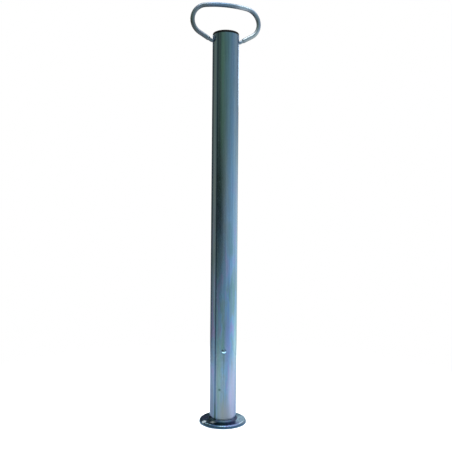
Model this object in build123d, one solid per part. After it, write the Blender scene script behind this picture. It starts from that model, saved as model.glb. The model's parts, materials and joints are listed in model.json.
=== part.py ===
"""Prop stand: a round steel leg with a dished foot, a swinging wire bail and a plastic end cap.

The stand is one length of 48 mm tube. A pressed foot dish is welded to its lower end, a moulded cap
is pushed into its upper end, and a wire bail hangs in two holes close under the cap. A stop stud,
riveted into the wall low on the tube, keeps the raised stand from dropping out of its 48 mm clamp.

Frame: millimetres, +Z up along the tube, origin on the floor at the centre of the foot. The bail
turns about an axis along X and stands upright at rest.
"""

from build123d import *
import os
from math import cos, radians, sin, tan

# Driving dimensions
OVERALL_HEIGHT = 700.0        # floor to the top of the end cap
TUBE_OD = 48.0
TUBE_WALL = 2.5
TUBE_EDGE_CHAMFER = 0.5

FOOT_OD = 85.0
FOOT_HEIGHT = 6.5             # floor to the flat top of the dish
FOOT_SHEET = 3.0              # thickness of the pressed sheet
FOOT_SHOULDER_R = 5.0         # outside radius where the rim turns down
FOOT_DRAIN_D = 12.0

WELD_LEG = 2.5
WELD_CROWN = 0.35             # how far the bead's face bulges

CAP_HEAD = 4.0                # thickness of the head that shows above the tube
CAP_HEAD_INSET = 0.2          # head radius less than the tube's
CAP_EDGE_R = 1.6
CAP_SKIRT = 5.5               # depth of the skirt, which stops short of the bail
CAP_SKIRT_WALL = 2.0
CAP_RIB_SQUEEZE = 0.1         # how far the ribs bite into the bore
CAP_RIB_COUNT = 2
CAP_RIB_HEIGHT = 1.2
CAP_RIB_DEPTH = 0.5           # how far a rib stands out of the skirt

BAIL_WIRE_D = 8.0
BAIL_PIN_D = 6.0              # the wire's ends are drawn down to this
BAIL_PIN_CLEARANCE = 0.1      # radial, in the tube's holes
BAIL_AXIS_DROP = 14.0         # top of the cap down to the bail's axis
BAIL_HALF_WIDTH = 61.5        # wire centreline
BAIL_RISE = 68.5              # axis to the peak of the crown's centreline, before rounding
BAIL_CROWN_FALL = 8.2         # degrees that each half of the crown slopes down
BAIL_CROWN_R = 245.0
BAIL_SHOULDER_R = 28.0        # crown into side
BAIL_HIP_R = 25.5             # side into leg
BAIL_LEG_SLOPE = 30.0         # degrees above the axis
BAIL_ELBOW_X = 26.0           # where leg and axis would meet
BAIL_ELBOW_R = 5.0
BAIL_NECK_LENGTH = 5.0        # drawn-down wire past the elbow, measured along the leg
BAIL_NECK_TAPER = 1.5
BAIL_PIN_REACH = 8.0          # how far each end stands inside the tube
BAIL_END_CHAMFER = 0.5

STUD_HEIGHT = 131.0           # floor to the stop stud's axis
STUD_TURN = -11.0             # degrees round Z from square to the bail
STUD_HEAD_D = 8.5
STUD_HEAD_RISE = 3.0          # how far the domed head stands out of the tube
STUD_SHANK_D = 5.0
STUD_TAIL_D = 7.5             # the peened end inside the tube
STUD_TAIL_RISE = 1.5
STUD_OVERLAP = 1.0            # head and tail are made this far into the wall, then cut to its faces

# Derived sizes
TUBE_R = TUBE_OD / 2
BORE_R = TUBE_R - TUBE_WALL
TUBE_BOTTOM = FOOT_HEIGHT
TUBE_TOP = OVERALL_HEIGHT - CAP_HEAD
BAIL_AXIS_Z = OVERALL_HEIGHT - BAIL_AXIS_DROP
FOOT_R = FOOT_OD / 2


def lathe(face):
    """The solid that a face in the XZ plane sweeps about Z."""
    return revolve(face, axis=Axis.Z)


def ring(inner_r, outer_r, low, high):
    """A plain ring between two radii and two heights."""
    wall = Pos((inner_r + outer_r) / 2, 0, (low + high) / 2) * Rot(90, 0, 0)
    return lathe(wall * Rectangle(outer_r - inner_r, high - low))


def stud_place():
    """Where the stud sits: on the tube's axis at the stud's height, with Z pointing out of the tube."""
    return Pos(0, 0, STUD_HEIGHT) * Rot(0, 0, STUD_TURN) * Rot(90, 0, 0)


def disc(radius, low, high):
    """A round disc about Z between two heights."""
    return Pos(0, 0, (low + high) / 2) * Cylinder(radius, high - low)


def make_stand_tube():
    """The leg: plain tube, two bail holes near the top, the stud's hole near the foot."""
    tube = ring(BORE_R, TUBE_R, TUBE_BOTTOM, TUBE_TOP)
    rims = tube.edges().filter_by(GeomType.CIRCLE).group_by(Axis.Z)[-1]
    tube = chamfer(rims, TUBE_EDGE_CHAMFER)
    bail_hole_r = BAIL_PIN_D / 2 + BAIL_PIN_CLEARANCE
    bail_holes = Pos(0, 0, BAIL_AXIS_Z) * Rot(0, 90, 0) * Cylinder(bail_hole_r, 2 * TUBE_OD)
    stud_hole = stud_place() * disc(STUD_SHANK_D / 2, 0, TUBE_OD)
    return tube - bail_holes - stud_hole


def make_stop_stud(tube):
    """A domed head, a shank through the wall and a peened tail, all shaped to the tube's wall."""
    head_r = STUD_HEAD_D / 2
    dome_r = (head_r ** 2 + STUD_HEAD_RISE ** 2) / (2 * STUD_HEAD_RISE)
    dome = Pos(0, 0, TUBE_R + STUD_HEAD_RISE - dome_r) * Sphere(dome_r)
    head = dome & disc(head_r, TUBE_R - STUD_OVERLAP, TUBE_R + STUD_HEAD_RISE)
    shank = disc(STUD_SHANK_D / 2, BORE_R, TUBE_R)
    tail = disc(STUD_TAIL_D / 2, BORE_R - STUD_TAIL_RISE, BORE_R + STUD_OVERLAP)
    return stud_place() * (head + shank + tail) - tube


def make_foot_plate():
    """A pressed dish, rim down, that stands on the cut edge of its rim."""
    inside_r = FOOT_SHOULDER_R - FOOT_SHEET
    shoulder_x = FOOT_R - FOOT_SHOULDER_R
    shoulder_z = FOOT_HEIGHT - FOOT_SHOULDER_R
    arc_mid = sin(radians(45))
    outline = Wire([
        Line((FOOT_DRAIN_D / 2, 0, FOOT_HEIGHT), (shoulder_x, 0, FOOT_HEIGHT)),
        ThreePointArc(
            (shoulder_x, 0, FOOT_HEIGHT),
            (shoulder_x + FOOT_SHOULDER_R * arc_mid, 0, shoulder_z + FOOT_SHOULDER_R * arc_mid),
            (FOOT_R, 0, shoulder_z),
        ),
        Line((FOOT_R, 0, shoulder_z), (FOOT_R, 0, 0)),
        Line((FOOT_R, 0, 0), (FOOT_R - FOOT_SHEET, 0, 0)),
        Line((FOOT_R - FOOT_SHEET, 0, 0), (FOOT_R - FOOT_SHEET, 0, shoulder_z)),
        ThreePointArc(
            (FOOT_R - FOOT_SHEET, 0, shoulder_z),
            (shoulder_x + inside_r * arc_mid, 0, shoulder_z + inside_r * arc_mid),
            (shoulder_x, 0, FOOT_HEIGHT - FOOT_SHEET),
        ),
        Line((shoulder_x, 0, FOOT_HEIGHT - FOOT_SHEET), (FOOT_DRAIN_D / 2, 0, FOOT_HEIGHT - FOOT_SHEET)),
        Line((FOOT_DRAIN_D / 2, 0, FOOT_HEIGHT - FOOT_SHEET), (FOOT_DRAIN_D / 2, 0, FOOT_HEIGHT)),
    ])
    return lathe(Face(outline))


def make_foot_weld():
    """The fillet bead that joins the tube to the dish."""
    toe = TUBE_R + WELD_LEG
    crest = FOOT_HEIGHT + WELD_LEG
    bulge = WELD_LEG / 2 + WELD_CROWN
    outline = Wire([
        Line((TUBE_R, 0, crest), (TUBE_R, 0, FOOT_HEIGHT)),
        Line((TUBE_R, 0, FOOT_HEIGHT), (toe, 0, FOOT_HEIGHT)),
        ThreePointArc((toe, 0, FOOT_HEIGHT), (TUBE_R + bulge, 0, FOOT_HEIGHT + bulge), (TUBE_R, 0, crest)),
    ])
    return lathe(Face(outline))


def make_end_cap():
    """A moulded plug: a flat head with a rounded edge on a short ribbed skirt."""
    head = ring(0, TUBE_R - CAP_HEAD_INSET, TUBE_TOP, OVERALL_HEIGHT)
    top_rim = head.edges().filter_by(GeomType.CIRCLE).group_by(Axis.Z)[-1]
    head = fillet(top_rim, CAP_EDGE_R)
    rib_r = BORE_R + CAP_RIB_SQUEEZE
    skirt_r = rib_r - CAP_RIB_DEPTH
    cap = head + ring(skirt_r - CAP_SKIRT_WALL, skirt_r, TUBE_TOP - CAP_SKIRT, TUBE_TOP)
    pitch = CAP_SKIRT / CAP_RIB_COUNT
    for i in range(CAP_RIB_COUNT):
        low = TUBE_TOP - CAP_SKIRT + i * pitch
        cap += ring(skirt_r - CAP_SKIRT_WALL / 2, rib_r, low, low + CAP_RIB_HEIGHT)
    return cap


def leg_point(distance):
    """A point on the right leg's centreline, that far from the elbow's corner."""
    slope = radians(BAIL_LEG_SLOPE)
    return Vector(BAIL_ELBOW_X + distance * cos(slope), 0, BAIL_AXIS_Z + distance * sin(slope))


def bail_bow(start):
    """The full-size wire's centreline, from the right leg over the crown to the left leg."""
    hip = leg_point((BAIL_HALF_WIDTH - BAIL_ELBOW_X) / cos(radians(BAIL_LEG_SLOPE)))
    peak_z = BAIL_AXIS_Z + BAIL_RISE
    shoulder_z = peak_z - BAIL_HALF_WIDTH * tan(radians(BAIL_CROWN_FALL))
    right = [(start.X, 0, start.Z), (hip.X, 0, hip.Z), (BAIL_HALF_WIDTH, 0, shoulder_z)]
    left = [(-x, y, z) for x, y, z in reversed(right)]
    radii = [BAIL_HIP_R, BAIL_SHOULDER_R, BAIL_CROWN_R, BAIL_SHOULDER_R, BAIL_HIP_R]
    return FilletPolyline(*right, (0, 0, peak_z), *left, radius=radii)


def bail_end():
    """One drawn-down end on the right: pin, elbow, neck and the taper up to the full wire."""
    elbow_tangent = BAIL_ELBOW_R * tan(radians(BAIL_LEG_SLOPE / 2))
    neck_end = leg_point(elbow_tangent + BAIL_NECK_LENGTH)
    taper_end = leg_point(elbow_tangent + BAIL_NECK_LENGTH + BAIL_NECK_TAPER)
    pin_x = BORE_R - BAIL_PIN_REACH
    path = FilletPolyline(
        (pin_x, 0, BAIL_AXIS_Z), (BAIL_ELBOW_X, 0, BAIL_AXIS_Z), tuple(neck_end), radius=BAIL_ELBOW_R
    )
    neck = sweep(Plane((pin_x, 0, BAIL_AXIS_Z), z_dir=(1, 0, 0)) * Circle(BAIL_PIN_D / 2), path=path)
    tip = neck.edges().filter_by(GeomType.CIRCLE).sort_by(Axis.X)[0]
    neck = chamfer(tip, BAIL_END_CHAMFER)
    along = taper_end - neck_end
    taper = loft([
        Plane(neck_end, z_dir=along) * Circle(BAIL_PIN_D / 2),
        Plane(taper_end, z_dir=along) * Circle(BAIL_WIRE_D / 2),
    ])
    return neck + taper, taper_end


def make_bail_handle():
    """One bent wire that swings in the tube's two upper holes."""
    end, bow_start = bail_end()
    along = leg_point(1) - leg_point(0)
    bow = sweep(Plane(bow_start, z_dir=along) * Circle(BAIL_WIRE_D / 2), path=bail_bow(bow_start))
    return bow + end + mirror(end, about=Plane.YZ)


def main():
    os.makedirs("parts", exist_ok=True)
    tube = make_stand_tube()
    nodes = {
        "stand_tube": tube,
        "foot_plate": make_foot_plate(),
        "foot_weld": make_foot_weld(),
        "stop_stud": make_stop_stud(tube),
        "end_cap": make_end_cap(),
        "bail_handle": make_bail_handle(),
    }
    for name, shape in nodes.items():
        export_step(shape, f"parts/{name}.step")


main()
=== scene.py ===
"""Looks for the prop stand: finer meshes, plated and moulded materials, studio and camera."""

import json
from math import asin, atan2, ceil, cos, pi, radians, sin, sqrt, tan

import bmesh
import bpy
from mathutils import Matrix, Vector, noise


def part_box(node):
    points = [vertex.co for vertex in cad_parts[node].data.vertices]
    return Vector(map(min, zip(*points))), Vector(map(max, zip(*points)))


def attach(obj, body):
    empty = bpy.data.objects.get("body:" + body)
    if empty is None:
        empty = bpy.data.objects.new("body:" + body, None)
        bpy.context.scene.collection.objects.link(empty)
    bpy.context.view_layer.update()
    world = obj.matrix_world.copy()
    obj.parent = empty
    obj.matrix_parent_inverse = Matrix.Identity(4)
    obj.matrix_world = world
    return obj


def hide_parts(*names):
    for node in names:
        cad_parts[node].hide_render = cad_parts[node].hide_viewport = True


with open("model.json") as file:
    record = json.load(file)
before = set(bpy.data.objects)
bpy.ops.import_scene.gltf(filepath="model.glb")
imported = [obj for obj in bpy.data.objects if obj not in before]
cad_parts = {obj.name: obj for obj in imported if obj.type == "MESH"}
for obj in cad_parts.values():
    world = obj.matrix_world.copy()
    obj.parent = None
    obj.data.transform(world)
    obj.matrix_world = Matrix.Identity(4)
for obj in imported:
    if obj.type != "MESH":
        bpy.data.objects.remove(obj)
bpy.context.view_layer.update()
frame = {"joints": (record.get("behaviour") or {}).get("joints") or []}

MM = 0.001

# Places and sizes read from the frame
TUBE_LOW, TUBE_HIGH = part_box("stand_tube")
_, FOOT_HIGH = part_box("foot_plate")
_, WELD_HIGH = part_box("foot_weld")
CAP_LOW, CAP_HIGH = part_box("end_cap")
_, BAIL_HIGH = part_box("bail_handle")
STUD_LOW, STUD_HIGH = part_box("stop_stud")
HINGE = Vector(frame["joints"][0]["pos_m"])
TUBE_R = TUBE_HIGH.x
FOOT_R = FOOT_HIGH.x
CAP_R = CAP_HIGH.x
WIRE_R = BAIL_HIGH.y
STUD_Z = (STUD_LOW.z + STUD_HIGH.z) / 2

# Camera: level, at the middle of the stand's height, turned a little to the bail's left
CAMERA_AZIMUTH = -13.7        # degrees from square to the bail
CAMERA_DISTANCE = 1.015
CAMERA_HEIGHT = 0.3527
CAMERA_ASIDE = 0.0030         # the stand is this far left of the middle of the view
CAMERA_ROLL = 0.48            # degrees
CAMERA_LENS = 44.7            # mm, on the default 36 mm sensor
CAMERA_SIDE = Vector((sin(radians(CAMERA_AZIMUTH)), -cos(radians(CAMERA_AZIMUTH)), 0))


# ---------------------------------------------------------------- meshes

MERGE = 1e-7                  # points closer than this are one


def add_object(name, mesh):
    """Puts a mesh into the scene as an object."""
    piece = bpy.data.objects.new(name, mesh)
    bpy.context.collection.objects.link(piece)
    return piece


def mesh_from(name, points, faces, sharp=40):
    """A smooth-shaded mesh object, with edges sharper than an angle left crisp."""
    mesh = bpy.data.meshes.new(name)
    mesh.from_pydata(points, [], faces)
    mesh.validate()
    bm = bmesh.new()
    bm.from_mesh(mesh)
    bmesh.ops.remove_doubles(bm, verts=bm.verts, dist=MERGE)
    bmesh.ops.recalc_face_normals(bm, faces=bm.faces)
    bm.to_mesh(mesh)
    bm.free()
    mesh.polygons.foreach_set("use_smooth", [True] * len(mesh.polygons))
    mesh.set_sharp_from_angle(angle=radians(sharp))
    return add_object(name, mesh)


def loft_rings(name, rings, closed_tube=False, sharp=40):
    """Joins rings of equal point count, in order; ends are capped unless the rings form a loop."""
    count = len(rings[0])
    points = [p for ring in rings for p in ring]
    faces = []
    last = len(rings) if closed_tube else len(rings) - 1
    for i in range(last):
        a, b = i * count, ((i + 1) % len(rings)) * count
        for j in range(count):
            k = (j + 1) % count
            faces.append((a + j, a + k, b + k, b + j))
    if not closed_tube:
        faces.append(tuple(range(count)))
        faces.append(tuple(range(len(points) - count, len(points))))
    return mesh_from(name, points, faces, sharp)


def lathe(name, profile, segments, wobble=None, sharp=40):
    """A closed profile of (radius, height) points turned about Z; wobble moves points slightly."""
    rings = []
    for i in range(segments):
        angle = 2 * pi * i / segments
        ring = [Vector((r * cos(angle), r * sin(angle), z)) for r, z in profile]
        if wobble:
            ring = [p + wobble(p) for p in ring]
        rings.append(ring)
    return loft_rings(name, rings, closed_tube=True, sharp=sharp)


def arc(centre, radius, start, end, steps):
    """Points on an arc in the lathe's profile, by angle in degrees."""
    angles = [radians(start + (end - start) * i / steps) for i in range(steps + 1)]
    return [(centre[0] + radius * cos(a), centre[1] + radius * sin(a)) for a in angles]


def dense(profile, step):
    """The same closed profile with no two points further apart than step."""
    out = []
    for (r0, z0), (r1, z1) in zip(profile, profile[1:] + profile[:1]):
        parts = max(1, int(sqrt((r1 - r0) ** 2 + (z1 - z0) ** 2) / step))
        out += [(r0 + (r1 - r0) * i / parts, z0 + (z1 - z0) * i / parts) for i in range(parts)]
    return out


# ---------------------------------------------------------------- the leg

TUBE_WALL = 2.5 * MM
BORE_R = TUBE_R - TUBE_WALL
TUBE_EDGE = 0.5 * MM          # chamfer at the tube's two ends
HOLE_EDGE = 0.3 * MM          # deburred edge of a drilled hole
BAIL_HOLE_R = 3.1 * MM
STUD_SHANK_R = 2.5 * MM
STUD_ANGLE = radians(-101)    # where the stud sits on the tube, from +X
SEAM_ANGLE = radians(-139.5)  # the tube's own lengthwise weld, from +X
SEAM_HALF = 1.5 * MM
SEAM_RISE = 0.09 * MM         # outside, after planing
SEAM_BEAD = 0.5 * MM          # inside, as welded
SEAM_UNEVEN = 0.3             # how much the seam's height varies, as a share of it
SEAM_WAVES = 40               # per metre
SEAM_MARGIN = 1.3             # fine columns reach this many half widths from the seam's middle
SEAM_COLUMNS = 6              # fine columns on each side of its middle
COLUMN = radians(2.5)         # width of a mesh column
ROW = 10 * MM                 # height of a mesh row
PATCH = 4                     # columns and rows on each side of a hole's middle
STUD_HOLE = (STUD_ANGLE, STUD_Z, STUD_SHANK_R)
HOLES = [(0.0, HINGE.z, BAIL_HOLE_R), (pi, HINGE.z, BAIL_HOLE_R), STUD_HOLE]


def signed_turn(start, end):
    """The shorter way round from one angle to another, in radians."""
    return (end - start + pi) % (2 * pi) - pi


def evenly(start, end, step):
    """Values from start up to, but not with, end, no further apart than step."""
    count = max(1, ceil((end - start) / step - 1e-6))
    return [start + (end - start) * i / count for i in range(count)]


def tube_columns():
    """Angles of the tube's mesh columns, some at the holes' middles, close together on the seam."""
    around = 2 * pi
    stops = [0.0, pi, STUD_ANGLE + around, around]
    columns = [a for start, end in zip(stops, stops[1:]) for a in evenly(start, end, COLUMN)]
    seam = SEAM_ANGLE + around
    half = SEAM_MARGIN * SEAM_HALF / TUBE_R
    columns = [a for a in columns if abs(a - seam) > half + COLUMN / 3]
    columns += evenly(seam - half, seam + half, half / SEAM_COLUMNS)
    return sorted(columns + [seam + half])


def tube_rows():
    """Heights of the tube's mesh rows, close together beside the holes."""
    reach = PATCH * COLUMN * TUBE_R
    rows = []
    start = TUBE_LOW.z + TUBE_EDGE
    for height in sorted({height for _, height, _ in HOLES}):
        rows += evenly(start, height - reach, ROW)
        rows += evenly(height - reach, height + reach, reach / PATCH)
        start = height + reach
    return rows + evenly(start, TUBE_HIGH.z - TUBE_EDGE, ROW) + [TUBE_HIGH.z - TUBE_EDGE]


def wall_point(angle, height, radius, bead):
    """A point on a tube wall, moved out or in where the lengthwise seam runs."""
    off = abs(signed_turn(SEAM_ANGLE, angle)) * TUBE_R / SEAM_HALF
    if off < 1:
        unevenness = 1 + SEAM_UNEVEN * noise.noise(Vector((0, 0, height * SEAM_WAVES)))
        radius += bead * unevenness * (1 + cos(pi * off)) / 2
    return Vector((radius * cos(angle), radius * sin(angle), height))


def outer(angle, height):
    """A point on the tube's outside."""
    return wall_point(angle, height, TUBE_R, SEAM_RISE)


def inner(angle, height):
    """A point on the tube's inside."""
    return wall_point(angle, height, BORE_R, -SEAM_BEAD)


def moved_to_wall(point, wall_r):
    """A point moved level onto a round wall."""
    flat = point.xy.normalized() * wall_r
    return Vector((flat.x, flat.y, point.z))


def bored(hole, bearing, radius, wall_r, depth):
    """A point round a drilled hole, by bearing about its axis, at a depth below a wall's surface."""
    angle, height, _ = hole
    across = radius * cos(bearing)
    along = sqrt(wall_r ** 2 - across ** 2) - depth
    x = along * cos(angle) - across * sin(angle)
    y = along * sin(angle) + across * cos(angle)
    return Vector((x, y, height + radius * sin(bearing)))


def hole_patch(hole, columns, rows):
    """The mesh cells that a hole's patch takes up, and its border points: angle, height, bearing."""
    angle, height, _ = hole
    middle = min(range(len(columns)), key=lambda i: abs(columns[i] - angle % (2 * pi)))
    centre = min(range(len(rows)), key=lambda i: abs(rows[i] - height))
    steps = range(-PATCH, PATCH)
    around = [(i, -PATCH) for i in steps] + [(PATCH, j) for j in steps]
    around += [(-i, PATCH) for i in steps] + [(-PATCH, -j) for j in steps]
    border = []
    for i, j in around:
        column = columns[(middle + i) % len(columns)]
        row = rows[centre + j]
        border.append((column, row, atan2(row - height, signed_turn(angle, column) * TUBE_R)))
    cells = {((middle + i) % len(columns), centre + j) for i in steps for j in steps}
    return cells, border


def hole_side(hole, border, wall, wall_r, edge):
    """Rings from the patch's border on one wall, by way of the hole's rim, to its bore."""
    hole_r = hole[2]
    outline = [wall(column, row) for column, row, _ in border]
    rim = [bored(hole, bearing, hole_r + HOLE_EDGE, wall_r, 0.0) for _, _, bearing in border]
    between = [moved_to_wall((start + end) / 2, wall_r) for start, end in zip(outline, rim)]
    bore = [bored(hole, bearing, hole_r, wall_r, edge) for _, _, bearing in border]
    return [outline, between, rim, bore]


def hole_faces(hole, border):
    """Faces from the patch's border on the outer wall, through the hole, to that on the inner."""
    rings = hole_side(hole, border, outer, TUBE_R, HOLE_EDGE)
    rings += hole_side(hole, border, inner, BORE_R, -HOLE_EDGE)[::-1]
    faces = []
    for near, far in zip(rings, rings[1:]):
        faces += [(near[i - 1], near[i], far[i], far[i - 1]) for i in range(len(near))]
    return faces


def wall_faces(start, end, below, above):
    """One face on each wall, between two angles and two heights."""
    corners = [(start, below), (end, below), (end, above), (start, above)]
    return [tuple(wall(angle, height) for angle, height in corners) for wall in (outer, inner)]


def end_faces(start, end, cut, row):
    """Chamfered faces across the wall between two angles, at one cut end of the tube."""
    sides = []
    for angle in (start, end):
        way = Vector((cos(angle), sin(angle), 0))
        level = Vector((0, 0, cut))
        out = way * (TUBE_R - TUBE_EDGE) + level
        back = way * (BORE_R + TUBE_EDGE) + level
        sides.append((outer(angle, row), out, back, inner(angle, row)))
    first, last = sides
    return [(first[k], last[k], last[k + 1], first[k + 1]) for k in range(3)]


def make_stand_tube():
    """The leg: drawn tube with its lengthwise seam, drilled holes, deburred edges and cut ends."""
    columns, rows = tube_columns(), tube_rows()
    faces, open_cells = [], set()
    for hole in HOLES:
        cells, border = hole_patch(hole, columns, rows)
        open_cells |= cells
        faces += hole_faces(hole, border)
    for column, start in enumerate(columns):
        end = columns[(column + 1) % len(columns)]
        for row, (below, above) in enumerate(zip(rows, rows[1:])):
            if (column, row) not in open_cells:
                faces += wall_faces(start, end, below, above)
        faces += end_faces(start, end, TUBE_LOW.z, rows[0])
        faces += end_faces(start, end, TUBE_HIGH.z, rows[-1])
    points = [p for face in faces for p in face]
    return mesh_from("leg_tube", points, [tuple(range(4 * i, 4 * i + 4)) for i in range(len(faces))])


# ---------------------------------------------------------------- the stud

STUD_HEAD_R = 4.25 * MM
STUD_RISE = 3.0 * MM          # head's crown above the tube
STUD_HEAD_EDGE = 0.25 * MM    # blunt edge between the dome and the tube
STUD_TAIL_R = 3.75 * MM
STUD_TAIL = 1.5 * MM          # how far the hammered tail reaches into the bore
STUD_TAIL_SIDE = 0.3          # share of that reach where the tail is at its widest
STUD_AROUND = 48
STUD_BEARINGS = [2 * pi * i / STUD_AROUND for i in range(STUD_AROUND)]
DOME_STEPS = 15
TAIL_STEPS = 6


def level_ring(radius, level):
    """A ring about the stud's axis, at a level out from the tube's axis."""
    points = []
    for bearing in STUD_BEARINGS:
        seat = sqrt(TUBE_R ** 2 - (radius * cos(bearing)) ** 2)
        points.append(bored(STUD_HOLE, bearing, radius, TUBE_R, seat - level))
    return points


def seated_ring(radius, wall_r):
    """A ring about the stud's axis that lies on one of the tube's walls."""
    return [bored(STUD_HOLE, bearing, radius, wall_r, 0.0) for bearing in STUD_BEARINGS]


def stud_dome():
    """Rings of the head, from near its crown to its edge."""
    dome_r = (STUD_HEAD_R ** 2 + STUD_RISE ** 2) / (2 * STUD_RISE)
    centre = TUBE_R + STUD_RISE - dome_r
    rim = asin(STUD_HEAD_R / dome_r)
    slopes = [rim * i / DOME_STEPS for i in range(1, DOME_STEPS)]
    rings = [level_ring(dome_r * sin(slope), centre + dome_r * cos(slope)) for slope in slopes]
    rings.append(level_ring(STUD_HEAD_R - STUD_HEAD_EDGE / 3, TUBE_R + STUD_HEAD_EDGE))
    rings.append(level_ring(STUD_HEAD_R, TUBE_R - STUD_HEAD_EDGE / 2))
    return rings


def stud_tail():
    """Rings of the hammered tail, from just below the bore's wall to near its tip."""
    rings = []
    for i in range(1, TAIL_STEPS):
        t = i / TAIL_STEPS
        reach = STUD_TAIL * (STUD_TAIL_SIDE + (1 - STUD_TAIL_SIDE) * t)
        rings.append(level_ring(STUD_TAIL_R * sqrt(1 - t ** 2), BORE_R - reach))
    return rings


def make_stop_stud():
    """The riveted stud: a domed head seated round the tube, its shank and the tail inside."""
    seats = [
        (STUD_HEAD_R, TUBE_R), (STUD_SHANK_R, TUBE_R), (STUD_SHANK_R, BORE_R), (STUD_TAIL_R, BORE_R)
    ]
    shank = [seated_ring(radius, wall_r) for radius, wall_r in seats]
    return loft_rings("stud_rivet", stud_dome() + shank + stud_tail(), sharp=45)


# ---------------------------------------------------------------- the foot and its weld

SHEET = 3.0 * MM              # thickness of the foot's pressed sheet
SHOULDER = 5.0 * MM           # outside radius where the foot's rim turns down
DRAIN_R = 6.0 * MM
FOOT_EDGE = 0.5 * MM          # rounding of the sheared edges
DISH_FALL = 0.5 * MM          # how far the dish slopes down from the weld to its shoulder
DISH_TILT = 3                 # degrees, at the shoulder
WELD_SEAT = 1.0 * MM          # width of the level ring that carries the weld's outer edge
WAVE_DEPTH = 0.12 * MM        # unevenness of the pressed sheet
WAVE_START = 5 * MM           # distance from the weld over which the waves grow
WAVES = 70                    # per metre
FOOT_STEP = 2.5 * MM
FOOT_SEGMENTS = 160


def press_wave(point):
    """Slight unevenness of pressed sheet, none where the weld and the floor meet it."""
    if point.z <= FOOT_HIGH.z / 2:
        return Vector((0, 0, 0))
    depth = WAVE_DEPTH * min(1.0, max(0.0, (point.xy.length - WELD_HIGH.x) / WAVE_START))
    lift = noise.noise(point * WAVES) * depth
    return Vector((0, 0, min(0.0, lift - depth)))


def make_foot_plate():
    """The pressed dish: flat top, rounded shoulder, rim down, softly sheared edges."""
    top = FOOT_HIGH.z
    flat_r = FOOT_R - SHOULDER
    drain_edge_r = DRAIN_R + FOOT_EDGE
    profile = arc((drain_edge_r, top - FOOT_EDGE), FOOT_EDGE, 180, 90, 4)
    profile += [(WELD_HIGH.x - WELD_SEAT, top)]
    profile += arc((flat_r, top - SHOULDER - DISH_FALL), SHOULDER, 90 - DISH_TILT, 0, 14)
    profile += arc((FOOT_R - FOOT_EDGE, FOOT_EDGE), FOOT_EDGE, 0, -90, 4)
    profile += arc((FOOT_R - SHEET + FOOT_EDGE, FOOT_EDGE), FOOT_EDGE, -90, -180, 4)
    profile += arc((flat_r, top - SHOULDER), SHOULDER - SHEET, 0, 90, 6)
    profile += arc((drain_edge_r, top - SHEET + FOOT_EDGE), FOOT_EDGE, 270, 180, 4)
    return lathe("foot_dish", dense(profile, FOOT_STEP), FOOT_SEGMENTS, press_wave, sharp=50)


WELD_RIPPLES = 58
WELD_BULGE = 0.35 * MM
BEAD_BODY = 0.35              # shares of the bulge: everywhere, at a ripple's crest, on the lump
BEAD_RIPPLE = 0.9
BEAD_LUMP = 0.4
RIPPLE_RISE = 0.6             # powers that shape a ripple's slow rise and steep fall
RIPPLE_FALL = 0.35
WELD_DRIFT = 0.9              # unevenness of the ripples' spacing
DRIFT_SCALE = 2.1             # noise scale, on the unit vector out from the tube
WELD_CRESCENT = 2.4           # how far each ripple bows back at the bead's edges
WELD_WAVER = 0.05             # how much the bead's width varies
WAVER_SCALE = 9               # noise scale, on the same vector
WAVER_PLACE = Vector((0, 0, 3))
WELD_FILL = 0.96              # the bead's leg, as a share of the room it has
WELD_BURIED = 0.15 * MM       # how far the bead's back sinks into tube and dish
WELD_CLOSE = 2.2              # radians from +X, where the run closes on itself
WELD_LUMP = 0.12              # radians, half the length of the lump there
WELD_ACROSS = 12              # mesh steps across the bead
WELD_STEPS = 8                # mesh steps along one ripple


def bead_lift(share, angle, drift):
    """How far the bead's face stands out, a share of the way from the tube down to the dish."""
    crescent = WELD_CRESCENT * (share - 0.5) ** 2
    turn = (angle * WELD_RIPPLES / (2 * pi) + drift + crescent) % 1.0
    ripple = turn ** RIPPLE_RISE * (1 - turn) ** RIPPLE_FALL
    lump = max(0.0, 1 - abs(signed_turn(WELD_CLOSE, angle)) / WELD_LUMP)
    height = BEAD_BODY + BEAD_RIPPLE * ripple + BEAD_LUMP * lump
    return WELD_BULGE * sin(pi * share) * height


def weld_ring(angle):
    """The bead's closed outline at one angle round the tube."""
    leg = WELD_HIGH.x - TUBE_R
    base = FOOT_HIGH.z
    out = Vector((cos(angle), sin(angle), 0))
    drift = WELD_DRIFT * noise.noise(out * DRIFT_SCALE)
    waver = 1 + WELD_WAVER * noise.noise(out * WAVER_SCALE + WAVER_PLACE)
    width = leg * WELD_FILL * waver
    ring = [out * (TUBE_R - WELD_BURIED) + Vector((0, 0, base - WELD_BURIED))]
    for i in range(WELD_ACROSS + 1):
        share = i / WELD_ACROSS
        lift = bead_lift(share, angle, drift) * sqrt(0.5)
        height = base + width * (1 - share) + lift
        ring.append(out * (TUBE_R + width * share + lift) + Vector((0, 0, height)))
    ring.append(out * (TUBE_R + leg) + Vector((0, 0, base - WELD_BURIED)))
    return ring


def make_foot_weld():
    """The fillet bead, laid in overlapping crescents, with a lump where the run closes on itself."""
    segments = WELD_RIPPLES * WELD_STEPS
    rings = [weld_ring(2 * pi * i / segments) for i in range(segments)]
    return loft_rings("weld_bead_ring", rings, closed_tube=True, sharp=80)


# ---------------------------------------------------------------- the cap

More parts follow.
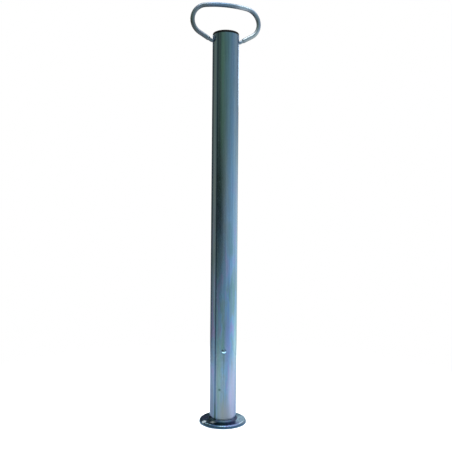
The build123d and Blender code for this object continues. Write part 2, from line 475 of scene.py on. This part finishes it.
CAP_EDGE = 1.6 * MM           # rounding of the head's upper edge
CAP_SEAT_EDGE = 0.25 * MM     # rounding where the head sits on the tube
RECESS = 0.5 * MM             # depth of the shallow recess in the cap's top
RECESS_R = 15.0 * MM
LIP_R = 16.2 * MM             # rounded lip round the recess
LIP_EDGE = 0.3 * MM
GATE_R = 1.2 * MM             # dimple left by the mould's gate
GATE_DEPTH = 0.5 * MM
SKIRT_GAP = 0.4 * MM          # between skirt and bore, away from the ribs
SKIRT_WALL = 2.0 * MM
HEAD_HOLLOW = 0.2 * MM        # how far the hollow stays below the tube's end
RIB_TOP = 1.2 * MM            # heights of a rib's slope and of its two edges above its foot
RIB_UPPER = 0.9 * MM
RIB_LOWER = 0.2 * MM
CAP_SEGMENTS = 128


def make_end_cap():
    """The moulded plug: rounded head with a shallow recess and a gate mark, ribbed skirt below."""
    top, seat = CAP_HIGH.z, TUBE_HIGH.z
    skirt = BORE_R - SKIRT_GAP
    inside = skirt - SKIRT_WALL
    profile = [(0.0, top - RECESS - GATE_DEPTH)]
    profile += arc((0.0, top - RECESS), GATE_R, -60, 0, 3)
    profile += [(RECESS_R, top - RECESS)]
    profile += arc((LIP_R, top - LIP_EDGE), LIP_EDGE, 180, 90, 3)
    profile += arc((CAP_R - CAP_EDGE, top - CAP_EDGE), CAP_EDGE, 90, 0, 8)
    profile += arc((CAP_R - CAP_SEAT_EDGE, seat + CAP_SEAT_EDGE), CAP_SEAT_EDGE, 0, -90, 3)
    profile += [(skirt, seat)]
    for low in ((CAP_LOW.z + seat) / 2, CAP_LOW.z):
        profile += [(skirt, low + RIB_TOP), (BORE_R, low + RIB_UPPER), (BORE_R, low + RIB_LOWER)]
        profile += [(skirt, low)]
    profile += [(inside, CAP_LOW.z), (inside, seat - HEAD_HOLLOW), (0.0, seat - HEAD_HOLLOW)]
    return lathe("cap_plug", profile, CAP_SEGMENTS, sharp=35)


# ---------------------------------------------------------------- the bail

BAIL_PIN_R = 3.0 * MM
BAIL_PIN_END_X = 13.5 * MM
BAIL_HALF_WIDTH = 61.5 * MM   # wire centreline
BAIL_RISE = 68.5 * MM
BAIL_CROWN_FALL = 8.2         # degrees
BAIL_LEG_SLOPE = 30.0         # degrees
BAIL_ELBOW_X = 26.0 * MM
BAIL_RADII = [5.0, 25.5, 28.0, 245.0, 28.0, 25.5, 5.0]        # mm, pin to pin
BAIL_NECK = 6.3 * MM          # elbow's corner to the neck's shoulder
NECK_TAPER = 1.6 * MM         # length over which the wire is drawn down
PIN_CHAMFER = 0.5 * MM
DENT = 0.03 * MM              # depth of the wire's faint dents
DENTS = 160                   # per metre
WIRE_STEP = 1.2 * MM
WIRE_AROUND = 28


def straight(start, end, step):
    """Evenly spaced points between two others, without those two."""
    run = end - start
    parts = max(1, int(run.length / step))
    return [start + run * (i / parts) for i in range(1, parts)]


def rounded_route(corners, radii, step):
    """Points along straight runs whose inner corners are rounded to the given radii."""
    route = [corners[0]]
    for before, corner, after, radius in zip(corners, corners[1:], corners[2:], radii):
        way_in, way_out = (corner - before).normalized(), (after - corner).normalized()
        turn = way_in.angle(way_out)
        start = corner - way_in * radius * tan(turn / 2)
        centre = start + (way_out - way_in * way_out.dot(way_in)).normalized() * radius
        spin = way_in.cross(way_out).normalized()
        steps = max(3, int(radius * turn / step))
        first = 1 if (start - route[-1]).length < step / 4 else 0
        route += straight(route[-1], start, step)
        for i in range(first, steps + 1):
            route.append(centre + Matrix.Rotation(turn * i / steps, 3, spin) @ (start - centre))
    return route + straight(route[-1], corners[-1], step) + [corners[-1]]


def bail_corners():
    """The wire's corner points, from the left pin's end to the right pin's end."""
    fall = tan(radians(BAIL_CROWN_FALL))
    slope = tan(radians(BAIL_LEG_SLOPE))
    hip = (BAIL_HALF_WIDTH, (BAIL_HALF_WIDTH - BAIL_ELBOW_X) * slope)
    shoulder = (BAIL_HALF_WIDTH, BAIL_RISE - BAIL_HALF_WIDTH * fall)
    half = [(BAIL_PIN_END_X, 0.0), (BAIL_ELBOW_X, 0.0), hip, shoulder]
    left = [HINGE + Vector((-x, 0, z)) for x, z in half]
    right = [HINGE + Vector((x, 0, z)) for x, z in reversed(half)]
    return left + [HINGE + Vector((0, 0, BAIL_RISE))] + right


def full_share(from_end):
    """0 over the drawn-down pins, 1 over the bow, easing from one to the other at the neck."""
    neck = BAIL_ELBOW_X - BAIL_PIN_END_X + BAIL_NECK
    share = min(1.0, max(0.0, (from_end - neck) / NECK_TAPER + 0.5))
    return share * share * (3 - 2 * share)


def wire_ring(centre, ahead, radius, dent):
    """Points round the wire, pushed in slightly by its dents."""
    across = Vector((0, 1, 0))
    up = ahead.cross(across)
    ring = []
    for i in range(WIRE_AROUND):
        turn = 2 * pi * i / WIRE_AROUND
        out = across * cos(turn) + up * sin(turn)
        point = centre + out * radius
        ring.append(point - out * abs(dent * noise.noise(point * DENTS)))
    return ring


def make_bail_wire():
    """The bent wire: full size over the bow, drawn down at both ends, with faint dents."""
    route = rounded_route(bail_corners(), [r * MM for r in BAIL_RADII], WIRE_STEP)
    lengths = [0.0]
    for before, after in zip(route, route[1:]):
        lengths.append(lengths[-1] + (after - before).length)
    rings = []
    for i, centre in enumerate(route):
        ahead = route[min(i + 1, len(route) - 1)] - route[max(i - 1, 0)]
        from_end = min(lengths[i], lengths[-1] - lengths[i])
        full = full_share(from_end)
        radius = BAIL_PIN_R + (WIRE_R - BAIL_PIN_R) * full
        if from_end == 0:
            radius -= PIN_CHAMFER
        rings.append(wire_ring(centre, ahead.normalized(), radius, DENT * full))
    return loft_rings("bail_wire", rings, sharp=50)


# ---------------------------------------------------------------- materials

MIX_INPUTS = (0, 6, 7)        # a colour mix node's factor and its two colours


class Shade:
    """The node tree of a material or the world, built up by short calls."""

    def __init__(self, owner, shader="Principled BSDF"):
        owner.use_nodes = True
        self.owner = owner
        self.tree = owner.node_tree
        self.shader = self.tree.nodes[shader]
        coordinates = self.add("TexCoord").outputs
        self.place = coordinates["Object"]
        self.facing = coordinates["Normal"]
        self.way = coordinates["Generated"]

    def feed(self, target, value):
        """Gives an input a value, or a link where the value is another node's output."""
        if isinstance(value, bpy.types.NodeSocket):
            self.tree.links.new(value, target)
        else:
            target.default_value = value

    def feed_all(self, node, inputs):
        """Feeds a node's inputs by name; an underscore stands for a space."""
        for name, value in inputs.items():
            self.feed(node.inputs[name.replace("_", " ")], value)

    def set(self, **inputs):
        """Feeds the shader's inputs."""
        self.feed_all(self.shader, inputs)

    def add(self, kind, **inputs):
        """A new node, fed with the inputs that are given."""
        node = self.tree.nodes.new("ShaderNode" + kind)
        self.feed_all(node, inputs)
        return node

    def stretched(self, scale):
        """Object coordinates scaled by a vector."""
        return self.add("Mapping", Vector=self.place, Scale=scale).outputs["Vector"]

    def noise(self, scale, detail=3.0, rough=0.55, distort=0.0):
        """Noise with the given number of cells per metre along X, Y and Z."""
        node = self.add("TexNoise", Vector=self.stretched(scale), Scale=1.0, Detail=detail)
        self.feed_all(node, {"Roughness": rough, "Distortion": distort})
        return node.outputs["Fac"]

    def ramp(self, value, stops):
        """A colour ramp; a stop is (position, grey or colour)."""
        node = self.add("ValToRGB", Fac=value)
        ramp = node.color_ramp
        while len(ramp.elements) < len(stops):
            ramp.elements.new(0.5)
        for element, (position, colour) in zip(ramp.elements, stops):
            element.position = position
            if not isinstance(colour, tuple):
                colour = (colour,) * 3
            element.color = (*colour, 1.0)
        return node.outputs["Color"]

    def math(self, operation, a, b=None, c=None, clamp=False):
        """One arithmetic step on sockets or numbers."""
        node = self.add("Math")
        node.operation = operation
        node.use_clamp = clamp
        for socket, value in zip(node.inputs, (a, b, c)):
            if value is not None:
                self.feed(socket, value)
        return node.outputs[0]

    def mix(self, factor, a, b, blend="MIX"):
        """Mixes two colours by a factor; each may be a socket or a value."""
        node = self.add("Mix")
        node.data_type = "RGBA"
        node.blend_type = blend
        for index, value in zip(MIX_INPUTS, (factor, a, b)):
            self.feed(node.inputs[index], (*value, 1.0) if isinstance(value, tuple) else value)
        return node.outputs[2]

    def along(self, axis, *stops, of=None):
        """A value that changes between two stops along X, Y or Z; a stop is (coordinate, value)."""
        (low, first), (high, last) = stops
        parts = self.add("SeparateXYZ", Vector=of or self.place)
        node = self.add("MapRange", Value=parts.outputs[axis], From_Min=low, From_Max=high)
        self.feed_all(node, {"To Min": first, "To Max": last})
        return node.outputs["Result"]

    def near(self, point, radius, soft, squeeze=1.0):
        """1 near a point, falling to 0 over the soft distance; a small squeeze makes a tall spot."""
        scale = Vector((1, 1, squeeze))
        node = self.add("VectorMath")
        node.operation = "DISTANCE"
        self.feed(node.inputs[0], self.stretched(scale))
        self.feed(node.inputs[1], point * scale)
        fade = self.math("SUBTRACT", radius + soft, node.outputs["Value"])
        return self.math("DIVIDE", fade, soft, clamp=True)

    def bump(self, height, distance, strength=1.0, under=None):
        """A bump from a height socket, on top of another bump if one is given."""
        node = self.add("Bump", Height=height, Distance=distance, Strength=strength)
        if under:
            self.feed(node.inputs["Normal"], under)
        return node.outputs["Normal"]


def material_shade(name):
    """The shade of a new material."""
    return Shade(bpy.data.materials.new(name))


# Passivation tints, as reflected colours
STEEL = (0.20, 0.29, 0.36)
TEAL = (0.15, 0.27, 0.27)
NAVY = (0.05, 0.10, 0.17)
AZURE = (0.17, 0.32, 0.46)
VIOLET = (0.25, 0.26, 0.45)
EDGE_TINT = (0.55, 0.62, 0.68, 1.0)    # how much the sheen at grazing angles is held back
CLOUD_STOPS = [(0.34, TEAL), (0.45, STEEL), (0.53, AZURE), (0.62, VIOLET), (0.72, STEEL)]
CLOUD_BUMP = 0.4 * MM

# Broad and fine drawing lines: how strongly each noise value darkens, and by which tint
BAND_STOPS = [(0.38, 0.0), (0.62, 0.7)]
BAND_TINT = (0.66, 0.70, 0.80)
LINE_STOPS = [(0.40, 0.0), (0.64, 0.5)]
LINE_TINT = (0.62, 0.68, 0.78)
LINE_BUMP = 0.012 * MM
LINES_PER_BAND = 7

# Cells per metre of the plating's grain and of its dull blotches, and what they do
GRAIN = (2600, 2600, 2600)
GRAIN_BUMP = 0.004 * MM
BLOTCH = (60, 60, 34)
BLOTCH_DULLING = 0.12
BAND_DULLING = 0.16


def toned(colour, tone):
    """A colour made lighter or darker."""
    return tuple(c * tone for c in colour)


def zinc(name, streak, cloud, tone=1.0, rough=0.3, calm=None):
    """Blue passivated zinc: cloudy tints, drawing lines along one direction, a soft sheen.

    streak and cloud give the noise scales along X, Y and Z, small along the drawing direction.
    Where calm is 1 the clouds fade to plain steel blue.
    """
    s = material_shade(name)
    clouds = s.noise(cloud, detail=4.0, rough=0.6, distort=0.5)
    tint = s.ramp(clouds, [(position, toned(colour, tone)) for position, colour in CLOUD_STOPS])
    if calm:
        tint = s.mix(s.along("Z", *calm), tint, toned(STEEL, tone))
    bands = s.noise(streak, detail=5.0, rough=0.65)
    tint = s.mix(s.ramp(bands, BAND_STOPS), tint, BAND_TINT, "MULTIPLY")
    fine = s.noise(tuple(c * LINES_PER_BAND for c in streak), detail=3.0, rough=0.7)
    tint = s.mix(s.ramp(fine, LINE_STOPS), tint, LINE_TINT, "MULTIPLY")
    grain = s.noise(GRAIN, detail=2.0)
    blotch = s.noise(BLOTCH, detail=5.0, rough=0.65, distort=1.2)
    gloss = s.math("MULTIPLY_ADD", bands, BAND_DULLING, rough - (BAND_DULLING + BLOTCH_DULLING) / 2)
    gloss = s.math("MULTIPLY_ADD", blotch, BLOTCH_DULLING, gloss)
    normal = s.bump(fine, LINE_BUMP)
    normal = s.bump(grain, GRAIN_BUMP, under=normal)
    normal = s.bump(clouds, CLOUD_BUMP, 0.5, under=normal)
    s.set(Metallic=1.0, Base_Color=tint, Roughness=gloss, Normal=normal, Specular_Tint=EDGE_TINT)
    return s, tint


def on_tube(angle, height):
    """A point on the tube's outside, by angle from +X."""
    return Vector((TUBE_R * cos(angle), TUBE_R * sin(angle), height))


# Larger tinted areas low on the tube: degrees from +X, height, size, softness (mm), squeeze, colour
TUBE_PATCHES = [
    (-86, 150, 2, 5, 0.11, (0.17, 0.22, 0.42)),
    (-125, 95, 2.5, 4, 0.06, (0.16, 0.265, 0.245)),
    # painted highlight: a light cyan strip low on the tube's right side
    (-42, 125, 2, 6, 0.09, (0.25, 0.38, 0.43)),
    (-165, 45, 3, 9, 0.12, (0.14, 0.15, 0.21)),
    (-58, 45, 5, 9, 0.16, (0.36, 0.38, 0.55)),
    (-98, 15, 5, 10, 0.40, (0.24, 0.26, 0.28)),
]
PATCH_STRENGTH = 0.7
TUBE_CALM = [(180 * MM, 0.0), (420 * MM, 0.75)]        # the clouds fade upwards
TUBE_SHADE = [(30 * MM, 0.56), (140 * MM, 0.92)]       # painted shade: the tube is darkened towards the foot
RAGGED = (900, 900, 120)      # cells per metre of the narrow marks' unevenness

# Narrow marks: place, size and softness (mm), squeeze, colour, strength
SEAM_FOOT = on_tube(SEAM_ANGLE, 0.0)
REFLECTION_LINE_MIDDLE = on_tube(STUD_ANGLE, STUD_Z - 24 * MM)
STAIN = on_tube(radians(-118.7), 63 * MM)
TUBE_MARKS = [
    # painted reflection: a dark line down the whole length of the real seam
    (SEAM_FOOT, 0.9, 1.0, 0.0, toned(NAVY, 0.8), 1.2),
    # painted reflection: the seam's dark line made darker near the foot
    (SEAM_FOOT, 1.4, 1.4, 0.05, toned(TEAL, 0.2), 1.1),
    # painted reflection: a dark line above and below the stud
    (REFLECTION_LINE_MIDDLE, 0.3, 1.3, 0.05, toned(TEAL, 0.4), 0.5),
    (STAIN, 0.9, 2.2, 1.0, toned(TEAL, 0.3), 1.0),
]


def tube_material():
    """Zinc on drawn tube: painted dark reflection lines down the seam and past the stud, painted
    shade and a painted highlight low down, and a stain low on the front.
    """
    s, tint = zinc("zinc_drawn_tube", (170, 170, 2.5), (95, 95, 15), rough=0.21, calm=TUBE_CALM)
    ragged = s.noise(RAGGED, detail=3.0)
    for degrees, height, radius, soft, squeeze, colour in TUBE_PATCHES:
        centre = on_tube(radians(degrees), height * MM)
        patch = s.near(centre, radius * MM, soft * MM, squeeze)
        tint = s.mix(s.math("MULTIPLY", patch, PATCH_STRENGTH), tint, colour)
    # painted shade: darker towards the foot
    tint = s.mix(1.0, tint, s.along("Z", *TUBE_SHADE), "MULTIPLY")
    for place, radius, soft, squeeze, colour, strength in TUBE_MARKS:
        mark = s.near(place, radius * MM, soft * MM, squeeze)
        weight = s.math("MULTIPLY", mark, s.math("MULTIPLY_ADD", ragged, strength, strength / 2))
        tint = s.mix(weight, tint, colour)
    s.set(Base_Color=tint)
    return s.owner


# Painted highlights on the dish, a broad one on its right and two spots on its left: place and radius
# in mm, colour, and how far the metal turns to a dull diffuse white
FOOT_PATCHES = [
    ((36, -14, 6), 14, (0.44, 0.58, 0.64), 0.0),
    ((-37, -11, 6), 2.8, (0.72, 0.79, 0.85), 0.8),
    ((-22, -19, 6), 3.4, (0.34, 0.35, 0.33), 0.6),
]
FOOT_RIM_SHADE = [(2.5 * MM, 1.0), (5.8 * MM, 0.0)]          # painted shade: the rim's dark tint fades up to the dish
SCUFFS = (420, 420, 420)      # cells per metre
SCUFF_CONTRAST = 3.2
SCUFF_START = -0.9


def foot_material():
    """Zinc on pressed sheet, with painted shade on the rim and painted highlights on the dish."""
    s, tint = zinc("zinc_pressed_sheet", (90, 90, 90), (26, 26, 26), tone=0.8, rough=0.24)
    rim = s.along("Z", *FOOT_RIM_SHADE)
    scuffs = s.noise(SCUFFS, detail=4.0, rough=0.7)
    scuffs = s.math("MULTIPLY_ADD", scuffs, SCUFF_CONTRAST, SCUFF_START, clamp=True)
    metal = 1.0
    # painted highlights on the dish
    for place, radius, colour, diffuse_share in FOOT_PATCHES:
        patch = s.math("MULTIPLY", s.near(Vector(place) * MM, radius * MM, radius * MM), scuffs)
        tint = s.mix(patch, tint, colour)
        metal = s.math("MULTIPLY_ADD", patch, -diffuse_share, metal)
    # painted shade darkens the rim
    tint = s.mix(s.math("MULTIPLY", rim, metal), tint, toned(NAVY, 0.9))
    s.set(Base_Color=tint, Metallic=metal)
    return s.owner


def weld_material():
    """Zinc over the weld bead, dark and dull."""
    s, _ = zinc("zinc_weld_bead", (260, 260, 260), (60, 60, 60), tone=0.35, rough=0.42)
    return s.owner


# Painted light on the wire: greyer and darker on the left, lighter on the right
WIRE_SHADED_LEFT = (0.14, 0.145, 0.15)
WIRE_LIT_RIGHT = (0.23, 0.27, 0.33)
WIRE_SIDES = [(-45 * MM, 0.0), (45 * MM, 1.0)]
SIDE_STRENGTH = 0.75

# Painted highlights on the bail's lower right leg and on its crown's right shoulder, and a darker
# blue tint on the crown's left: place from the hinge, size and softness (mm), colour
WIRE_PATCHES = [
    # painted highlight on the lower right leg
    ((46, 0, 15), 12, 14, (0.38, 0.40, 0.40)),
    # painted highlight on the crown's right shoulder
    ((34, 0, 62), 6, 12, (0.52, 0.58, 0.64)),
    ((-12, 0, 68), 10, 16, (0.13, 0.22, 0.34)),
]
WIRE_PATCH_STRENGTH = 0.6
UNDERSIDE_SHADE = [(-0.9, 0.4), (0.0, 1.0)]    # painted shade: darker by how far the surface faces down


def wire_material():
    """Zinc on drawn wire, with painted light: greyer on the left, lighter on the right, painted
    highlights in patches, painted shade on its underside.
    """
    s, tint = zinc("zinc_drawn_wire", (120, 500, 120), (30, 30, 30), tone=0.9, rough=0.36)
    # painted light: darker left, lighter right
    sides = s.mix(s.along("X", *WIRE_SIDES), WIRE_SHADED_LEFT, WIRE_LIT_RIGHT)
    tint = s.mix(SIDE_STRENGTH, tint, sides)
    for place, radius, soft, colour in WIRE_PATCHES:
        patch = s.near(HINGE + Vector(place) * MM, radius * MM, soft * MM)
        tint = s.mix(s.math("MULTIPLY", patch, WIRE_PATCH_STRENGTH), tint, colour)
    # painted shade on the wire's underside
    shade_below = s.along("Z", *UNDERSIDE_SHADE, of=s.facing)
    s.set(Base_Color=s.mix(1.0, tint, shade_below, "MULTIPLY"))
    return s.owner


# painted shade: the stud's upper half darkened
STUD_SHADE = [(STUD_Z - 0.5 * MM, 1.0), (STUD_Z + 1.5 * MM, 0.25)]


def stud_material():
    """Bright zinc on the stud, with painted shade darkening its upper half."""
    s, tint = zinc("zinc_turned_stud", (700, 700, 700), (150, 150, 150), tone=2.1, rough=0.2)
    s.set(Base_Color=s.mix(1.0, tint, s.along("Z", *STUD_SHADE), "MULTIPLY"))
    return s.owner


CAP_TONES = [(0.3, (0.002, 0.002, 0.002)), (0.75, (0.006, 0.006, 0.007))]
CAP_GRAIN = (1800, 1800, 1800)                         # cells per metre
CAP_HAZE = (90, 90, 90)
CAP_BUMP = 0.03 * MM
CAP_ROUGHNESS = 0.42
HAZE_DULLING = 0.2
CAP_SHEEN = 0.12


def cap_material():
    """Moulded black plastic with a fine grain and faint rub marks."""
    s = material_shade("black_moulded_plastic")
    grain = s.noise(CAP_GRAIN, detail=3.0)
    haze = s.noise(CAP_HAZE, detail=4.0, distort=0.8)
    gloss = s.math("MULTIPLY_ADD", haze, HAZE_DULLING, CAP_ROUGHNESS)
    normal = s.bump(grain, CAP_BUMP, 0.6)
    s.set(Base_Color=s.ramp(haze, CAP_TONES), Roughness=gloss, Normal=normal)
    s.set(Specular_IOR_Level=CAP_SHEEN)
    return s.owner


# ---------------------------------------------------------------- studio

FLOOR_R = 0.7
FLOOR_DEPTH = 0.004
FLOOR_FADE = 0.12             # distance from the stand where the floor starts to fade
FLOOR_WHITE = (0.93, 0.93, 0.93, 1)
FLOOR_SEGMENTS = 96


def floor_material():
    """White paper that turns clear towards the floor's rim."""
    s = Shade(bpy.data.materials.new("floor_white"), "Material Output")
    s.tree.nodes.remove(s.tree.nodes["Principled BSDF"])
    far = s.add("VectorMath", Vector=s.place)
    far.operation = "LENGTH"
    fade = s.add("MapRange", Value=far.outputs["Value"], From_Min=FLOOR_FADE, From_Max=FLOOR_R)
    fade.interpolation_type = "SMOOTHSTEP"
    paper = s.add("BsdfDiffuse", Color=FLOOR_WHITE).outputs[0]
    clear = s.add("BsdfTransparent").outputs[0]
    blend = s.add("MixShader")
    for socket, value in zip(blend.inputs, (fade.outputs["Result"], paper, clear)):
        s.feed(socket, value)
    s.set(Surface=blend.outputs[0])
    return s.owner


def make_floor():
    """A pale round floor that fades into the backdrop."""
    profile = [(0.0, 0.0), (FLOOR_R, 0.0), (FLOOR_R, -FLOOR_DEPTH), (0.0, -FLOOR_DEPTH)]
    floor = lathe("floor", profile, FLOOR_SEGMENTS)
    floor.data.materials.append(floor_material())


# Light from round the stand, by degrees to the right of the camera: from below, from about level,
# from above and from overhead
FLOOR_LIGHT = [
    (-180, (0.40, 0.45, 0.45)), (-130, (0.45, 0.40, 0.40)), (-108, (0.90, 0.74, 0.72)),
    (-60, (0.64, 0.78, 0.72)), (0, (0.75, 0.95, 1.00)), (50, (0.90, 1.10, 1.25)),
    (90, (1.70, 1.90, 1.90)), (135, (2.20, 2.30, 2.05)), (180, (1.10, 1.20, 1.20)),
]
WALL_LIGHT = [
    (-180, (0.05, 0.05, 0.05)), (-130, (0.18, 0.18, 0.15)), (-108, (0.70, 0.61, 0.45)),
    (-84, (0.57, 0.49, 0.36)), (-70, (0.14, 0.12, 0.08)), (-62, (0.00, 0.00, 0.00)),
    (-34, (0.00, 0.00, 0.00)), (-16, (0.20, 0.17, 0.16)), (8, (0.72, 0.66, 0.60)),
    (35, (0.85, 0.98, 1.08)), (65, (1.00, 1.33, 1.56)), (100, (1.50, 1.64, 1.74)),
    (140, (2.30, 2.05, 1.90)), (180, (0.70, 0.70, 0.70)),
]
CEILING_LIGHT = [
    (-180, (0.10, 0.10, 0.10)), (-130, (0.16, 0.16, 0.13)), (-108, (0.57, 0.51, 0.37)),
    (-88, (0.48, 0.48, 0.34)), (-74, (0.46, 0.46, 0.32)), (-60, (0.21, 0.25, 0.16)),
    (-46, (0.18, 0.25, 0.15)), (-30, (0.34, 0.48, 0.28)), (-8, (0.38, 0.54, 0.35)),
    (20, (0.35, 0.51, 0.46)), (60, (0.50, 0.66, 0.71)), (88, (0.86, 0.93, 0.96)),
    (110, (0.88, 0.86, 0.86)), (150, (0.64, 0.61, 0.64)), (165, (0.60, 0.65, 0.65)),
    (180, (1.00, 1.10, 1.20)),
]
ROOF_LIGHT = [
    (-180, (0.40, 0.45, 0.50)), (-90, (0.60, 0.75, 0.85)), (0, (0.90, 1.05, 1.20)),
    (50, (1.90, 2.20, 2.40)), (120, (2.30, 2.50, 2.60)), (180, (0.40, 0.45, 0.50)),
]
FLOOR_EDGE = (-10, -1)        # degrees of height over which floor turns to wall
CEILING_EDGE = (2, 13)        # degrees of height over which wall turns to ceiling
ROOF_EDGE = (34, 58)          # degrees of height over which ceiling turns to the roof's light
BACKDROP = (1.0, 1.0, 1.0)    # what the camera sees behind the stand


def make_studio():
    """A soft studio: white backdrop to the eye, cool light on the right, a dark wall on the left."""
    world = bpy.data.worlds.new("studio")
    bpy.context.scene.world = world
    s = Shade(world, "Background")
    turned = s.add("VectorRotate", Vector=s.way, Angle=-radians(CAMERA_AZIMUTH))
    turned.rotation_type = "Z_AXIS"
    way = s.add("SeparateXYZ", Vector=turned.outputs[0]).outputs
    angle = s.math("ARCTAN2", way["X"], s.math("MULTIPLY", way["Y"], -1.0))
    turn = s.math("MULTIPLY_ADD", angle, 1 / (2 * pi), 0.5)
    rise = s.math("MULTIPLY_ADD", way["Z"], 0.5, 0.5)
    floor, wall, ceiling, roof = [
        s.ramp(turn, [(degree / 360 + 0.5, colour) for degree, colour in light])
        for light in (FLOOR_LIGHT, WALL_LIGHT, CEILING_LIGHT, ROOF_LIGHT)
    ]
    above_floor, above_wall, above_ceiling = [
        s.ramp(rise, [(sin(radians(d)) / 2 + 0.5, v) for d, v in zip(edge, (0.0, 1.0))])
        for edge in (FLOOR_EDGE, CEILING_EDGE, ROOF_EDGE)
    ]
    light = s.mix(above_wall, s.mix(above_floor, floor, wall), ceiling)
    light = s.mix(above_ceiling, light, roof)
    seen = s.add("LightPath").outputs["Is Camera Ray"]
    s.set(Color=s.mix(seen, light, BACKDROP))


LAMP_AIM = Vector((0, 0, 0.2))

# Lamps: name, degrees right of the camera, degrees up, distance and size (m), watts, mirrored
SOFTBOXES = [
    ("floor_softbox", 178, 80, 1.6, 1.2, 50.0, False),
    ("top_softbox", -8, 82, 1.6, 0.5, 6.0, True),
    ("back_left_softbox", -151, 40, 1.5, 0.16, 0.9, True),
    ("back_right_softbox", 154, 31, 1.5, 0.3, 1.2, True),
    ("crown_softbox", 66, 67, 1.5, 0.2, 1.2, True),
]


def add_softbox(name, azimuth, elevation, distance, size, power, mirrored):
    """An area light aimed at the stand; only a mirrored one shows in reflections."""
    light = bpy.data.lights.new(name, "AREA")
    light.shape = "DISK"
    light.size = size
    light.energy = power
    lamp = bpy.data.objects.new(name, light)
    bpy.context.collection.objects.link(lamp)
    lamp.visible_glossy = mirrored
    turn = radians(azimuth + CAMERA_AZIMUTH)
    rise = radians(elevation)
    way = Vector((sin(turn) * cos(rise), -cos(turn) * cos(rise), sin(rise)))
    lamp.location = LAMP_AIM + way * distance
    lamp.rotation_euler = way.to_track_quat("Z", "Y").to_euler()


def make_camera():
    """A camera that looks level at the stand's middle, rolled by a fraction of a degree."""
    data = bpy.data.cameras.new("camera")
    data.lens = CAMERA_LENS
    camera = bpy.data.objects.new("camera", data)
    bpy.context.collection.objects.link(camera)
    right = Vector((-CAMERA_SIDE.y, CAMERA_SIDE.x, 0))
    camera.location = CAMERA_SIDE * CAMERA_DISTANCE + right * CAMERA_ASIDE
    camera.location.z = CAMERA_HEIGHT
    level = CAMERA_SIDE.to_track_quat("Z", "Y").to_matrix()
    camera.rotation_euler = (level @ Matrix.Rotation(radians(CAMERA_ROLL), 3, "Z")).to_euler()
    bpy.context.scene.camera = camera


# ---------------------------------------------------------------- the stand

def dress(piece, body, material, slot, *replaced):
    """Gives a piece its material and its body, and hides the CAD nodes that it stands for; slot is
    not used.
    """
    piece.data.materials.append(material)
    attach(piece, body)
    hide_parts(*replaced)


make_camera()
make_studio()
make_floor()
for softbox in SOFTBOXES:
    add_softbox(*softbox)
bpy.context.scene.view_settings.view_transform = "Standard"

dress(make_stand_tube(), "stand", tube_material(), "zinc_tube", "stand_tube")
dress(make_stop_stud(), "stand", stud_material(), "zinc_stud", "stop_stud")
dress(make_foot_plate(), "stand", foot_material(), "zinc_foot", "foot_plate")
dress(make_foot_weld(), "stand", weld_material(), "weld_bead", "foot_weld")
dress(make_end_cap(), "stand", cap_material(), "black_plastic", "end_cap")
dress(make_bail_wire(), "bail", wire_material(), "zinc_wire", "bail_handle")
